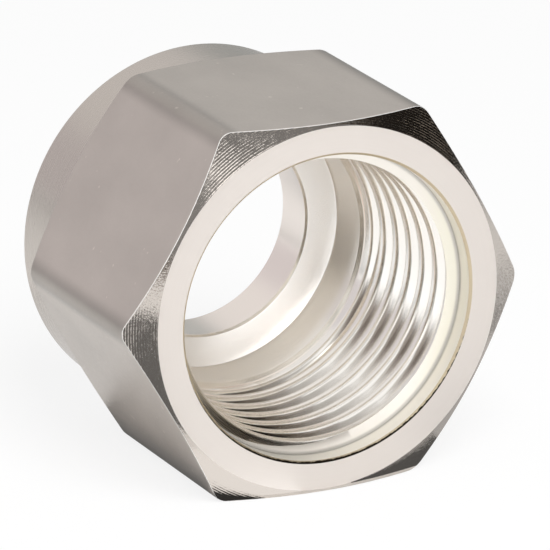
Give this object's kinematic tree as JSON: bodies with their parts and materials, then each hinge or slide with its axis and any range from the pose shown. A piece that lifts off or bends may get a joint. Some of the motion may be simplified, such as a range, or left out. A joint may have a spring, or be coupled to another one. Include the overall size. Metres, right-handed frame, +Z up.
{
  "type": "compression tube nut",
  "caption": "Hexagonal compression nut with a threaded mouth, a smooth ferrule pocket with an angled seat, a tube bore and a round collar behind the hexagon.",
  "frame": {"origin": "On the resting hexagon flat, under the middle of the nut's length and its axis.", "axes": "+Y along the nut's axis from the threaded mouth towards the tube end, +Z up, square to the resting flat, +X across the hexagon's corners."},
  "size_m": [0.02, 0.0142, 0.0175],
  "materials": {
    "nut_steel": "satin drawn flats, fine-turned chamfers, thin pale silver plate on the mouth face, thread and bore"
  },
  "bodies": {
    "root": {"tube_nut": "nut_steel"}
  },
  "joints": []
}
